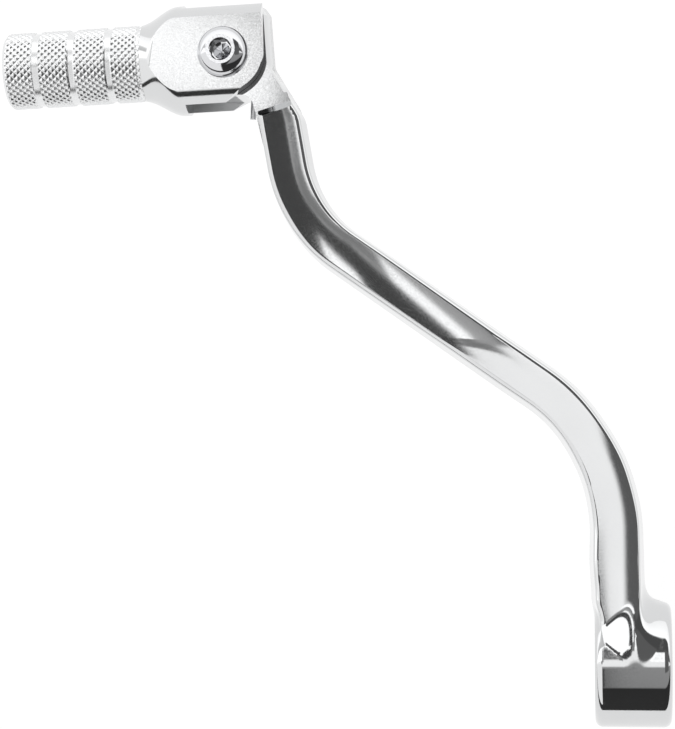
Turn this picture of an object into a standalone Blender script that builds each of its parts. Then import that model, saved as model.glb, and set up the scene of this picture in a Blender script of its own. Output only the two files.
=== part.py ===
"""Gear shift lever with a folding toe tip, built as separate solids.

The frame is the lever as it sits on the left of a motorcycle: the origin is the centre of the splined bore,
+X runs along the shift shaft towards the engine, +Y forwards along the arm and +Z up.
Sizes are in millimetres and become metres when a mesh is made.
"""

import math

import bmesh
import bpy
from mathutils import Matrix, Vector

MM = 0.001
TOUCH_GAP = 0.3  # between pieces that bear on each other
FIT_GAP = 0.05  # radial, a shaft in its hole

# Hub at the shift shaft.
HUB_RADIUS = 12.75
HUB_LEFT = -8.05
HUB_RIGHT = 7.45
HUB_EDGE = 1.6
HUB_MIDDLE = (HUB_LEFT + HUB_RIGHT) / 2
HUB_HALF_WIDTH = (HUB_RIGHT - HUB_LEFT) / 2
SPLINE_TEETH = 24
SPLINE_TIP_RADIUS = 6.0
SPLINE_ROOT_RADIUS = 6.5
SPLINE_TURN = math.radians(5.0)

# Pinch lug under the hub, its slit and its bolt.
LUG_REAR = -11.8
LUG_FRONT = 10.4
LUG_BOTTOM = -17.0
LUG_CORNER = 3.0
LUG_INSET = 0.5
SLIT_WIDTH = 2.0
PINCH_Z = -10.7
PINCH_SEAT_Y = -6.2

# Blade of the arm: its middle line as corners with a bend radius, and its half-widths along Y.
BLADE_PATH = (
    ((-74.1, 121.0), 0.0),
    ((-68.9, 91.75), 28.0),
    ((-3.55, 45.7), 37.2),
    ((-3.45, -12.75), 0.0),
)
BLADE_WIDTHS = (
    # Y, half-width on the outer side, half-width on the engine side
    (118.5, 4.6, 3.0),
    (112.5, 4.9, 4.9),
    (93.0, 4.85, 4.85),
    (83.0, 5.0, 5.0),
    (57.5, 5.05, 5.05),
    (50.0, 4.9, 4.9),
    (39.5, 5.25, 5.25),
    (28.0, 5.5, 5.5),
    (21.5, 5.65, 5.65),
    (13.5, 5.3, 5.8),
    (9.0, 4.5, 5.8),
    (6.0, 4.2, 5.8),
)
BLADE_DEPTH = 6.3  # half-thickness near the head
RAMP_START = 93.0  # the slanting run grows thicker between these places along Y
RAMP_END = 67.0
RAMP_GROWTH = 0.0029
FOOT_GROWTH = 0.00075  # slow growth from there to the hub
FOOT_END = 8.0
FOOT_FALL = 0.05
HEAD_GROWTH = 0.0006
BLADE_CROWN = 0.2
BLADE_DRAFT = math.tan(math.radians(6.0))
BLADE_EDGE = 0.8
HUB_BLENDS = (1.0, 4.5)  # rounding where blade and hub meet, on the outer side and on the engine side

# Pivot of the toe tip.
PIVOT = (-84.2, 126.5)
TIP_TILT = math.radians(2.5)
TIP_AXIS_RISE = 0.15
TONGUE_HALF = 5.1
TONGUE_RADIUS = 8.35
TONGUE_TOP = 10.0
SHOULDER_DISTANCE = 13.55
SHOULDER_TURN = math.radians(18.0)

# Toe tip, turned about its own axis. Its lengths are measured from the pivot, negative towards the free end.
BARREL_RADIUS = 8.05
BARREL_END = -47.1
BARREL_CHAMFER = 0.8
GROOVES = (-40.1, -32.5, -24.6)
GROOVE_WIDTH = 1.3
GROOVE_DEPTH = 0.35
CLEVIS_RADIUS = 11.55
FLAT_HALF = 8.65
SLOT_HALF = TONGUE_HALF + TOUCH_GAP
SLOT_BOTTOM = -(TONGUE_RADIUS + 0.4)
EAR_END = 8.35
EAR_CORNER_TURN = math.radians(-57.0)

# Pivot fasteners, M6.
THREAD_RADIUS = 3.0
BUSHING_RADIUS = 4.5
BUTTON_RADIUS = 5.25
BUTTON_HEIGHT = 3.3
BUTTON_FLAT_RADIUS = 3.05
WASHER_RADIUS = 6.0
WASHER_THICKNESS = 1.0
NUT_ACROSS_FLATS = 10.0
NUT_HEIGHT = 6.0
NUT_HEX_HEIGHT = 4.4
INSERT_RADIUS = 3.9

# Torsion return spring, coiled round the bushing in a pocket in the rear of the tongue.
WIRE_RADIUS = 0.62
COIL_RADIUS = 5.95
COIL_PITCH = 1.32
COIL_TURNS = 3
COIL_REAR_Z = -4.4
POCKET_RADIUS = 7.0
POCKET_FLOOR = 0.9
FIXED_LEG_END = -12.9
FIXED_LEG_LEAN = 0.75
LEG_HOLE_RADIUS = 0.95
TIP_LEG_END = -7.9

ROUND_STEPS = 48


# ---------------------------------------------------------------- materials and meshes


def metal(name, colour, roughness, metallic=1.0):
    material = bpy.data.materials.new(name)
    material.use_nodes = True
    shader = material.node_tree.nodes["Principled BSDF"]
    shader.inputs["Base Color"].default_value = (*colour, 1.0)
    shader.inputs["Roughness"].default_value = roughness
    shader.inputs["Metallic"].default_value = metallic
    return material


def add_object(name, mesh, material=None):
    thing = bpy.data.objects.new(name, mesh)
    bpy.context.scene.collection.objects.link(thing)
    if material:
        mesh.materials.append(material)
    return thing


def mesh_from_rings(name, rings, smooth_angle=35.0):
    """Skins equal closed rings of points into one closed mesh, with a face over each end."""
    mesh = bpy.data.meshes.new(name)
    count = len(rings[0])
    points = [Vector(p) * MM for ring in rings for p in ring]
    faces = []
    for j in range(len(rings) - 1):
        for i in range(count):
            k = (i + 1) % count
            faces.append((j * count + i, j * count + k, (j + 1) * count + k, (j + 1) * count + i))
    faces.append(tuple(reversed(range(count))))
    faces.append(tuple(range((len(rings) - 1) * count, len(rings) * count)))
    mesh.from_pydata(points, [], faces)
    outward = bmesh.new()
    outward.from_mesh(mesh)
    bmesh.ops.recalc_face_normals(outward, faces=outward.faces)
    outward.to_mesh(mesh)
    outward.free()
    mesh.shade_smooth()
    mesh.set_sharp_from_angle(angle=math.radians(smooth_angle))
    return mesh


def prism(name, outline, low, high, turn=None):
    """Extrudes an outline in the XY plane from low to high, then turns it if a matrix is given."""
    rings = [[Vector((x, y, z)) for x, y in outline] for z in (low, high)]
    if turn:
        rings = [[turn @ p for p in ring] for ring in rings]
    return mesh_from_rings(name, rings)


def turned(name, profile, steps=ROUND_STEPS, place=None):
    """Spins a profile of (radius, height) points, bottom to top, about Z, then places it with a matrix."""
    rings = []
    for radius, height in profile:
        ring = []
        for i in range(steps):
            angle = 2 * math.pi * i / steps
            ring.append(Vector((radius * math.cos(angle), radius * math.sin(angle), height)))
        rings.append(ring)
    if place:
        rings = [[place @ p for p in ring] for ring in rings]
    return mesh_from_rings(name, rings)


def cut(target, mesh):
    """Takes a cutter's volume away from the target."""
    boolean(target, mesh, "DIFFERENCE")


def join(target, mesh):
    """Adds a second shape's volume to the target."""
    boolean(target, mesh, "UNION")


def boolean(target, mesh, operation):
    guide = add_object(mesh.name, mesh)
    guide.hide_render = True
    guide.display_type = "WIRE"
    guide.hide_set(True)
    guide.parent = target.parent
    guide.matrix_parent_inverse = target.matrix_parent_inverse.copy()
    step = target.modifiers.new(mesh.name, "BOOLEAN")
    step.operation = operation
    step.solver = "EXACT"
    step.object = guide


# ---------------------------------------------------------------- plane geometry


def arc(centre, radius, start, end, steps):
    """Points along an arc; the angles are in radians."""
    points = []
    for i in range(steps + 1):
        angle = start + (end - start) * i / steps
        points.append((centre[0] + radius * math.cos(angle), centre[1] + radius * math.sin(angle)))
    return points


def rounded(corners, steps=5):
    """A closed outline from ((x, y), radius) corners, each one rounded off with an arc."""
    outline = []
    for i, (corner, radius) in enumerate(corners):
        here = Vector(corner)
        before = (Vector(corners[i - 1][0]) - here).normalized()
        after = (Vector(corners[(i + 1) % len(corners)][0]) - here).normalized()
        if radius == 0.0:
            outline.append(tuple(here))
            continue
        half = before.angle(after) / 2
        centre = here + (before + after).normalized() * (radius / math.sin(half))
        first = here + before * (radius / math.tan(half)) - centre
        last = here + after * (radius / math.tan(half)) - centre
        sweep = first.angle_signed(last)
        for k in range(steps + 1):
            angle = math.atan2(first.y, first.x) - sweep * k / steps
            outline.append((centre.x + radius * math.cos(angle), centre.y + radius * math.sin(angle)))
    return outline


def regular(radius, sides, turn=0.0):
    points = []
    for i in range(sides):
        angle = turn + 2 * math.pi * i / sides
        points.append((radius * math.cos(angle), radius * math.sin(angle)))
    return points


def along_path(distance):
    """Point and direction on the blade's middle line at a distance from its start."""
    corners = [Vector(corner) for corner, _ in BLADE_PATH]
    at = corners[0]
    for i in range(1, len(corners)):
        heading = (corners[i] - at).normalized()
        radius = BLADE_PATH[i][1]
        if i == len(corners) - 1:
            return at + heading * distance, heading
        after = (corners[i + 1] - corners[i]).normalized()
        sweep = heading.angle_signed(after)
        trim = radius * math.tan(abs(sweep) / 2)
        straight = (corners[i] - at).length - trim
        if distance <= straight:
            return at + heading * distance, heading
        distance -= straight
        side = Vector((heading.y, -heading.x)) * math.copysign(1.0, sweep)
        centre = at + heading * straight + side * radius
        length = radius * abs(sweep)
        if distance <= length:
            turn = Matrix.Rotation(-sweep * distance / length, 2)
            return centre + turn @ (-side * radius), turn @ heading
        distance -= length
        at = corners[i] + after * trim


def blade_half_widths(y):
    """Outer and engine-side half-widths at a height along Y, eased between the listed places."""
    if y >= BLADE_WIDTHS[0][0]:
        return BLADE_WIDTHS[0][1:]
    for above, below in zip(BLADE_WIDTHS, BLADE_WIDTHS[1:]):
        if y >= below[0]:
            share = (above[0] - y) / (above[0] - below[0])
            ease = share * share * (3 - 2 * share)
            return tuple(a + (b - a) * ease for a, b in zip(above[1:], below[1:]))
    return BLADE_WIDTHS[-1][1:]


# ---------------------------------------------------------------- the arm's skin


def rounded_corner_distance(across, up, radius):
    """Distance outside two faces that meet in a rounded corner."""
    a = across + radius
    b = up + radius
    return math.hypot(max(a, 0.0), max(b, 0.0)) + min(max(a, b), 0.0) - radius


def blade_depth(y):
    """Half-thickness: a ramp along the slanting run, slow growth to the hub, then a fall inside it."""
    ramp = min(max(RAMP_START - y, 0.0), RAMP_START - RAMP_END)
    past = max(RAMP_END - y, 0.0)
    slope = 2 * RAMP_GROWTH * (RAMP_START - RAMP_END)
    ease = slope * 1.5 * (1 - math.exp(-past / 1.5))
    head = HEAD_GROWTH * max(y - RAMP_START, 0.0) ** 2
    fall = FOOT_FALL * max(FOOT_END - y, 0.0) ** 2
    return BLADE_DEPTH + RAMP_GROWTH * ramp**2 + ease + FOOT_GROWTH * past**2 + head - fall


def blade_distance(u, z, y):
    """Distance outside the blade, u to the engine side of its middle line."""
    half = blade_half_widths(y)[1 if u > 0 else 0]
    side = abs(u) - (half - BLADE_DRAFT * abs(z))
    face = abs(z) - (blade_depth(y) - BLADE_CROWN * (u / half) ** 2)
    return rounded_corner_distance(side, face, BLADE_EDGE)


def hub_distance(x, y, z):
    side = abs(x - HUB_MIDDLE) - HUB_HALF_WIDTH
    rim = math.hypot(y, z) - HUB_RADIUS
    return rounded_corner_distance(side, rim, HUB_EDGE)


def arm_distance(middle, across, u, z):
    """Distance outside the blade and the hub, blended where they meet."""
    x = middle.x + across.x * u
    y = middle.y + across.y * u
    blade = blade_distance(u, z, y)
    hub = hub_distance(x, y, z)
    share = min(max((x + 7.5) / 8.0, 0.0), 1.0)
    size = HUB_BLENDS[0] + (HUB_BLENDS[1] - HUB_BLENDS[0]) * share * share * (3 - 2 * share)
    blend = max(size - abs(blade - hub), 0.0) / size
    return min(blade, hub) - blend * blend * size / 4


def ring_round_arm(middle, across, shift, reach_u, reach_z, count):
    """Points where rays from inside the arm meet its skin, in the plane across its middle line."""
    ring = []
    for i in range(count):
        turn = 2 * math.pi * i / count
        turn += 0.14 * math.sin(4 * turn)
        step_u = reach_u * math.cos(turn)
        step_z = reach_z * math.sin(turn)
        inside, outside = 0.0, 3.0
        for _ in range(30):
            share = (inside + outside) / 2
            if arm_distance(middle, across, shift + share * step_u, share * step_z) < 0:
                inside = share
            else:
                outside = share
        u = shift + inside * step_u
        ring.append((middle.x + across.x * u, middle.y + across.y * u, inside * step_z))
    return ring


def arm_rings(count=32):
    rings = []
    distance = 3.0
    middle, heading = along_path(distance)
    while middle.y > 21.5:
        across = Vector((-heading.y, heading.x))
        rings.append(ring_round_arm(middle, across, 0.0, 5.2, blade_depth(middle.y), count))
        distance += 3.0
        middle, heading = along_path(distance)
    heights = [20.0, 17.5, 15.5, 14.2, 13.4]
    heights += [HUB_RADIUS * math.sin(math.radians(a)) for a in (84, 72, 60, 48, 36, 24, 12, 0)]
    heights += [-HUB_RADIUS * math.sin(math.radians(a)) for a in (12, 24, 36, 48, 60, 72, 82)]
    middle_x = BLADE_PATH[-1][0][0]
    for y in heights:
        share = min(max((14.0 - y) / 8.0, 0.0), 1.0)
        shift = share * (HUB_MIDDLE - middle_x)
        rim = math.sqrt(HUB_RADIUS**2 - min(abs(y), HUB_RADIUS) ** 2)
        reach_z = max(rim, blade_depth(y)) if y > 0 else rim
        reach_u = 5.5 + share * (HUB_HALF_WIDTH - 5.5)
        rings.append(ring_round_arm(Vector((middle_x, y)), Vector((1.0, 0.0)), shift, reach_u, reach_z, count))
    return rings


# ---------------------------------------------------------------- the arm's head, hub and lug


def from_pivot(points):
    return [(PIVOT[0] + x, PIVOT[1] + y) for x, y in points]


def tip_turn(points):
    """Turns points from the toe tip's own axes to the arm's, about the pivot."""
    c, s = math.cos(TIP_TILT), math.sin(TIP_TILT)
    return [(x * c - y * s, x * s + y * c) for x, y in points]


def head_outline(engine_side):
    """The pivot head seen from above, with its drafted engine side given as corners."""
    flank = [((8.3, -20.0), 0.0), ((6.5, -12.6), 1.0), ((5.4, -8.45), 2.6)]
    tail = rounded(engine_side + flank + [((0.6, -8.45), 0.0), ((-1.0, -2.0), 0.0), ((0.0, 10.3), 0.0)])
    keep = len(tail) - 3
    round_end = arc((0.0, 0.0), TONGUE_RADIUS, math.radians(270), math.radians(180), 10)
    stop = [(-TONGUE_RADIUS, TONGUE_TOP - 0.6), (-TONGUE_RADIUS + 0.6, TONGUE_TOP)]
    return from_pivot(tail[:keep] + tip_turn(round_end + stop))


def head_mesh():
    """The head is widest at its parting plane and narrows towards both milled faces of the tongue."""
    widest = [((7.9, 10.6), 0.4), ((9.1, 8.9), 0.8), ((10.0, -2.3), 3.0), ((15.7, -11.7), 6.0), ((16.6, -20.0), 0.0)]
    face = [((7.0, 10.5), 0.4), ((8.05, 8.3), 0.3), ((8.8, -2.3), 3.0), ((13.9, -10.5), 6.0), ((15.4, -20.0), 0.0)]
    rings = []
    for z, side in ((-TONGUE_HALF, face), (0.0, widest), (TONGUE_HALF, face)):
        rings.append([(x, y, z) for x, y in head_outline(side)])
    return mesh_from_rings("head", rings)


def step_cutter(name, side):
    """Mills the tongue's face down from the blade's, up to a shoulder that slopes at 45 degrees."""
    low = TONGUE_HALF
    wall = 8.0
    section = [(-40.0, low), (0.0, low), (wall, low + wall), (wall, low + 2 * wall), (-40.0, low + 2 * wall)]
    reach = 30.0
    outward = Vector((math.sin(SHOULDER_TURN), -math.cos(SHOULDER_TURN), 0.0))
    along = Vector((math.cos(SHOULDER_TURN), math.sin(SHOULDER_TURN), 0.0))
    foot = Vector((*PIVOT, 0.0)) + outward * SHOULDER_DISTANCE
    rings = []
    for span in (-reach, reach):
        rings.append([foot + outward * d + along * span + Vector((0, 0, side * z)) for d, z in section])
    return mesh_from_rings(name, rings)


def across_hub(profile, name, left, right):
    """Extrudes a (y, z) outline along X."""
    rings = [[(x, y, z) for y, z in profile] for x in (left, right)]
    return mesh_from_rings(name, rings)


def spline_outline():
    """Twenty-four straight-sided teeth that point inwards."""
    outline = []
    pitch = 2 * math.pi / SPLINE_TEETH
    for i in range(SPLINE_TEETH):
        middle = i * pitch + SPLINE_TURN
        for share, radius in ((-0.40, 1), (-0.15, 0), (0.15, 0), (0.40, 1)):
            size = SPLINE_ROOT_RADIUS if radius else SPLINE_TIP_RADIUS
            angle = middle + share * pitch
            outline.append((size * math.cos(angle), size * math.sin(angle)))
    return outline


def along_y(x, z):
    """Places a turned shape's axis along +Y through x, z."""
    return Matrix.Translation((x, 0.0, z)) @ Matrix.Rotation(math.radians(-90), 4, "X")


def at_pivot():
    return Matrix.Translation((*PIVOT, 0.0))


def make_lever_arm(material):
    arm = add_object("lever_arm", mesh_from_rings("lever_arm", arm_rings()), material)
    join(arm, head_mesh())
    lug_outline = rounded(
        [
            ((LUG_FRONT, -1.0), 0.0),
            ((LUG_FRONT, LUG_BOTTOM), LUG_CORNER),
            ((LUG_REAR, LUG_BOTTOM), LUG_CORNER),
            ((LUG_REAR, -1.0), 0.0),
        ]
    )
    join(arm, across_hub(lug_outline, "lug", HUB_LEFT + LUG_INSET, HUB_RIGHT - LUG_INSET))
    cut(arm, step_cutter("step_front", 1))
    cut(arm, step_cutter("step_rear", -1))
    cut(arm, across_hub(spline_outline(), "bore", HUB_LEFT - 5, HUB_RIGHT + 5))
    half = SLIT_WIDTH / 2
    slit = [(-half, -25.0), (half, -25.0), (half, -3.0), (-half, -3.0)]
    cut(arm, across_hub(slit, "slit", HUB_LEFT - 5, HUB_RIGHT + 5))
    pinch = along_y(HUB_MIDDLE, PINCH_Z)
    cut(arm, turned("pinch_seat", [(5.3, -20.0), (5.3, PINCH_SEAT_Y)], place=pinch))
    cut(arm, turned("pinch_clearance", [(3.3, -19.0), (3.3, 0.0)], 32, pinch))
    cut(arm, turned("pinch_thread", [(THREAD_RADIUS + FIT_GAP, -0.5), (THREAD_RADIUS + FIT_GAP, 20.0)], 32, pinch))
    bore = BUSHING_RADIUS + FIT_GAP
    cut(arm, turned("pivot_bore", [(bore, -9.0), (bore, 9.0)], place=at_pivot()))
    cut(arm, turned("spring_pocket", [(POCKET_RADIUS, -9.0), (POCKET_RADIUS, POCKET_FLOOR)], place=at_pivot()))
    leg = WIRE_RADIUS + TOUCH_GAP
    channel = [(COIL_RADIUS - 2 * leg, -16.0), (COIL_RADIUS + leg, -16.0), (COIL_RADIUS + leg, -0.5)]
    channel.append((COIL_RADIUS - leg, -0.5))
    cut(arm, prism("leg_channel", from_pivot(channel), -9.0, POCKET_FLOOR))


# ---------------------------------------------------------------- the toe tip


def tip_place():
    """Stands a turned shape's axis along the toe tip, with its free end out to the left."""
    lift = Matrix.Translation((*PIVOT, 0.0)) @ Matrix.Rotation(TIP_TILT, 4, "Z")
    return lift @ Matrix.Translation((0.0, TIP_AXIS_RISE, 0.0)) @ Matrix.Rotation(math.radians(90), 4, "Y")


def tip_profile():
    """Radius against length, from the free end to the ears."""
    profile = [(BARREL_RADIUS - BARREL_CHAMFER, BARREL_END), (BARREL_RADIUS, BARREL_END + BARREL_CHAMFER)]
    for place in GROOVES:
        half = GROOVE_WIDTH / 2
        slope = GROOVE_DEPTH / 2
        profile.append((BARREL_RADIUS, place - half - slope))
        profile.append((BARREL_RADIUS - GROOVE_DEPTH, place - half))
        profile.append((BARREL_RADIUS - GROOVE_DEPTH, place + half))
        profile.append((BARREL_RADIUS, place + half + slope))
    flare_start = -18.4
    flare_end = -9.8
    for i in range(9):
        share = i / 8
        ease = share * share * (3 - 2 * share)
        profile.append(
            (
                BARREL_RADIUS + (CLEVIS_RADIUS - BARREL_RADIUS) * ease,
                flare_start + (flare_end - flare_start) * share,
            )
        )
    profile.append((CLEVIS_RADIUS, EAR_END))
    return profile


def make_toe_tip(material, joint):
    tip = add_object("toe_tip", turned("toe_tip", tip_profile(), 64, tip_place()), material)
    ride(tip, joint)
    far = 60.0
    for side in (-1, 1):
        low, high = sorted((side * FLAT_HALF, side * 30.0))
        block = [(-far, -far), (far, -far), (far, far), (-far, far)]
        cut(tip, prism(f"flat_{'front' if side > 0 else 'rear'}", from_pivot(block), low, high))
    slot = [(SLOT_BOTTOM, -far), (far, -far), (far, far), (SLOT_BOTTOM, far)]
    cut(tip, prism("slot", from_pivot(tip_turn(slot)), -SLOT_HALF, SLOT_HALF))
    cut(tip, prism("ear_corner", from_pivot(tip_turn(ear_corner_outline())), -30.0, 30.0))
    hole = THREAD_RADIUS + FIT_GAP
    cut(tip, turned("pivot_hole", [(hole, -30.0), (hole, 30.0)], place=at_pivot()))
    leg_x, leg_y = tip_leg_place()
    leg = Matrix.Translation((PIVOT[0] + leg_x, PIVOT[1] + leg_y, 0.0))
    cut(tip, turned("leg_hole", [(LEG_HOLE_RADIUS, -30.0), (LEG_HOLE_RADIUS, 0.0)], 16, leg))


def ear_corner_outline():
    """What is milled off the ears' lower corner: outside an arc about the pivot and its tangent."""
    curve = arc((0.0, 0.0), EAR_END, EAR_CORNER_TURN, 0.0, 10)
    start = Vector(curve[0])
    tangent = Vector((math.sin(EAR_CORNER_TURN), -math.cos(EAR_CORNER_TURN)))
    down = start + tangent * 12.0
    return [tuple(down)] + curve + [(EAR_END + 10.0, 0.0), (EAR_END + 10.0, down.y)]


# ---------------------------------------------------------------- pivot fasteners


def socket(name, across_flats, low, high, place):
    """A hexagon socket's cutter about the placed axis."""
    outline = regular(across_flats / math.sqrt(3), 6, math.radians(10))
    return prism(name, outline, low, high, place)


def make_pivot_bolt(material, joint):
    base = FLAT_HALF + TOUCH_GAP
    end = base - 25.0
    profile = [
        (THREAD_RADIUS - 0.6, end),
        (THREAD_RADIUS, end + 0.6),
        (THREAD_RADIUS, base),
        (BUTTON_RADIUS - 0.25, base),
        (BUTTON_RADIUS, base + 0.3),
    ]
    for i in range(1, 7):
        angle = math.radians(90 * i / 6 * 0.78)
        radius = BUTTON_FLAT_RADIUS + (BUTTON_RADIUS - BUTTON_FLAT_RADIUS) * (1 - (i / 6) ** 2.2)
        profile.append((radius, base + 0.3 + (BUTTON_HEIGHT - 0.3) * math.sin(angle) / math.sin(math.radians(70.2))))
    bolt = add_object("pivot_bolt", turned("pivot_bolt", profile, place=at_pivot()), material)
    ride(bolt, joint)
    top = base + BUTTON_HEIGHT
    cut(bolt, socket("button_socket", 4.05, top - 2.1, top + 2.0, at_pivot()))


def tube(name, inner, outer, low, high, material, joint, bevel=0.3):
    """A sleeve or washer about the pivot, chamfered outside."""
    profile = [(outer - bevel, low), (outer, low + bevel), (outer, high - bevel), (outer - bevel, high)]
    sleeve = add_object(name, turned(name, profile, place=at_pivot()), material)
    ride(sleeve, joint)
    cut(sleeve, turned(name + "_hole", [(inner, low - 5.0), (inner, high + 5.0)], place=at_pivot()))


def make_pivot_nut(material, insert_material, joint):
    top = -(FLAT_HALF + TOUCH_GAP + WASHER_THICKNESS + TOUCH_GAP)
    hex_end = top - NUT_HEX_HEIGHT
    corner = NUT_ACROSS_FLATS / math.sqrt(3)
    nut = add_object("pivot_nut", prism("pivot_nut", regular(corner, 6), hex_end, top, at_pivot()), material)
    ride(nut, joint)
    collar = [(4.0, top - NUT_HEIGHT), (4.7, top - NUT_HEIGHT + 0.5), (4.7, top - 1.0)]
    join(nut, turned("nut_collar", collar, place=at_pivot()))
    bore = THREAD_RADIUS + FIT_GAP
    cut(nut, turned("nut_bore", [(bore, top - 20.0), (bore, top + 5.0)], place=at_pivot()))
    recess_top = hex_end + 0.6
    lip = top - NUT_HEIGHT + 0.4
    recess = [(INSERT_RADIUS + FIT_GAP, lip), (INSERT_RADIUS + FIT_GAP, recess_top)]
    cut(nut, turned("insert_recess", recess, place=at_pivot()))
    tube(
        "nut_insert",
        THREAD_RADIUS + FIT_GAP,
        INSERT_RADIUS,
        lip + TOUCH_GAP / 2,
        recess_top - TOUCH_GAP / 2,
        insert_material,
        joint,
        0.1,
    )


# ---------------------------------------------------------------- the return spring


def tip_leg_place():
    """Where the spring's moving leg turns down into the rear ear, from the pivot."""
    return 0.0, COIL_RADIUS


def spring_route():
    """Middle line of the wire: the leg into the ear, the coil, and the leg along the arm."""
    steps = 18
    leg_x, leg_y = tip_leg_place()
    start = math.atan2(leg_y, leg_x)
    route = [Vector((leg_x, leg_y, TIP_LEG_END)), Vector((leg_x, leg_y, COIL_REAR_Z - 0.7))]
    sweep = 2 * math.pi * COIL_TURNS + start
    count = round(sweep / (2 * math.pi) * steps)
    for i in range(count + 1):
        angle = start - sweep * i / count
        rise = COIL_PITCH * sweep / (2 * math.pi) * i / count
        route.append(Vector((COIL_RADIUS * math.cos(angle), COIL_RADIUS * math.sin(angle), COIL_REAR_Z + rise)))
    top = route[-1].z
    for share in (0.25, 0.5, 0.75, 1.0):
        route.append(Vector((COIL_RADIUS - FIXED_LEG_LEAN * share, FIXED_LEG_END * share, top)))
    return [p + Vector((*PIVOT, 0.0)) for p in route]


def wire_rings(route, radius, sides=10):
    """Circles round a middle line, carried along it without twisting."""
    rings = []
    side = Vector((1.0, 0.0, 0.0))
    for i, place in enumerate(route):
        before = route[max(i - 1, 0)]
        after = route[min(i + 1, len(route) - 1)]
        heading = (after - before).normalized()
        side = (side - heading * side.dot(heading)).normalized()
        other = heading.cross(side)
        ring = []
        for k in range(sides):
            angle = 2 * math.pi * k / sides
            ring.append(place + (side * math.cos(angle) + other * math.sin(angle)) * radius)
        rings.append(ring)
    return rings


def make_return_spring(material):
    add_object("return_spring", mesh_from_rings("return_spring", wire_rings(spring_route(), WIRE_RADIUS)), material)


# ---------------------------------------------------------------- the pinch bolt


def make_pinch_bolt(material):
    head_top = PINCH_SEAT_Y - TOUCH_GAP
    profile = [
        (4.4, head_top - 6.0),
        (5.0, head_top - 5.4),
        (5.0, head_top),
        (THREAD_RADIUS, head_top),
        (THREAD_RADIUS, head_top + 15.4),
        (THREAD_RADIUS - 0.6, head_top + 16.0),
    ]
    place = along_y(HUB_MIDDLE, PINCH_Z)
    bolt = add_object("pinch_bolt", turned("pinch_bolt", profile, 40, place), material)
    cut(bolt, socket("pinch_socket", 5.0, head_top - 9.0, head_top - 3.0, place))


# ---------------------------------------------------------------- assembly


def ride(thing, joint):
    """Parents a piece to a joint's empty without moving it."""
    thing.parent = joint
    thing.matrix_parent_inverse = Matrix.Translation(joint.location).inverted()


def main():
    for thing in list(bpy.data.objects):
        bpy.data.objects.remove(thing)
    polished = metal("polished_aluminium", (0.90, 0.90, 0.91), 0.06)
    turned_metal = metal("turned_aluminium", (0.90, 0.90, 0.90), 0.12)
    plated = metal("plated_steel", (0.80, 0.80, 0.81), 0.12)
    zinc = metal("zinc_steel", (0.72, 0.72, 0.74), 0.28)
    spring_steel = metal("spring_steel", (0.45, 0.45, 0.46), 0.3)
    nylon = metal("nylon", (0.08, 0.16, 0.45), 0.5, 0.0)

    joint = bpy.data.objects.new("tip_pivot", None)
    joint.location = Vector((*PIVOT, 0.0)) * MM
    bpy.context.scene.collection.objects.link(joint)

    make_lever_arm(polished)
    make_toe_tip(turned_metal, joint)
    make_pivot_bolt(plated, joint)
    tube("pivot_bushing", THREAD_RADIUS + FIT_GAP, BUSHING_RADIUS, -TONGUE_HALF, TONGUE_HALF, zinc, joint)
    washer_top = -(FLAT_HALF + TOUCH_GAP)
    washer_low = washer_top - WASHER_THICKNESS
    tube("pivot_washer", THREAD_RADIUS + FIT_GAP, WASHER_RADIUS, washer_low, washer_top, zinc, joint, 0.15)
    make_pivot_nut(zinc, nylon, joint)
    make_return_spring(spring_steel)
    make_pinch_bolt(zinc)


main()
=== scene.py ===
"""The look of the gear shift lever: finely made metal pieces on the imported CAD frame, in a light tent.

The frame has +X along the shift shaft towards the engine, +Y forwards along the arm and +Z up.
Sizes are in millimetres and become metres when a mesh is made.
"""

import math

import bmesh
import bpy
import numpy as np
from mathutils import Matrix, Vector


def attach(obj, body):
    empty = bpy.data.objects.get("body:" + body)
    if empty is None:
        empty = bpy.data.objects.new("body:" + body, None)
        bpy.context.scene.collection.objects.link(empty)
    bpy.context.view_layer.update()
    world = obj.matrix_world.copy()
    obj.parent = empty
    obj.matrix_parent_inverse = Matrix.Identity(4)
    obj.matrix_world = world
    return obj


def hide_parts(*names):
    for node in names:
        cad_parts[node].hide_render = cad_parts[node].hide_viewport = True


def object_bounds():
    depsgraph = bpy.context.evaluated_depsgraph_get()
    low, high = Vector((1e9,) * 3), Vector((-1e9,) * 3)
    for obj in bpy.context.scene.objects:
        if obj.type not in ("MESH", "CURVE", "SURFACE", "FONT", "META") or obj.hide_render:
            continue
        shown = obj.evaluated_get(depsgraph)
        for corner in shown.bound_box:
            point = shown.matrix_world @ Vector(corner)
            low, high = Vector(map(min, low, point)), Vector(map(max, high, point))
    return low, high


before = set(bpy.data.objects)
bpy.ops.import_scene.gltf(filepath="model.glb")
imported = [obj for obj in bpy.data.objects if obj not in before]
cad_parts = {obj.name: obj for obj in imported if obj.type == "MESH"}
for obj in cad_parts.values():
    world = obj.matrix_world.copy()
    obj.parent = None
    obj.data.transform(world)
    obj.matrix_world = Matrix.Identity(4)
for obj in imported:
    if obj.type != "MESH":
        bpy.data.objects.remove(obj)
CAD_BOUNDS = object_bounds()

MM = 0.001

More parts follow.
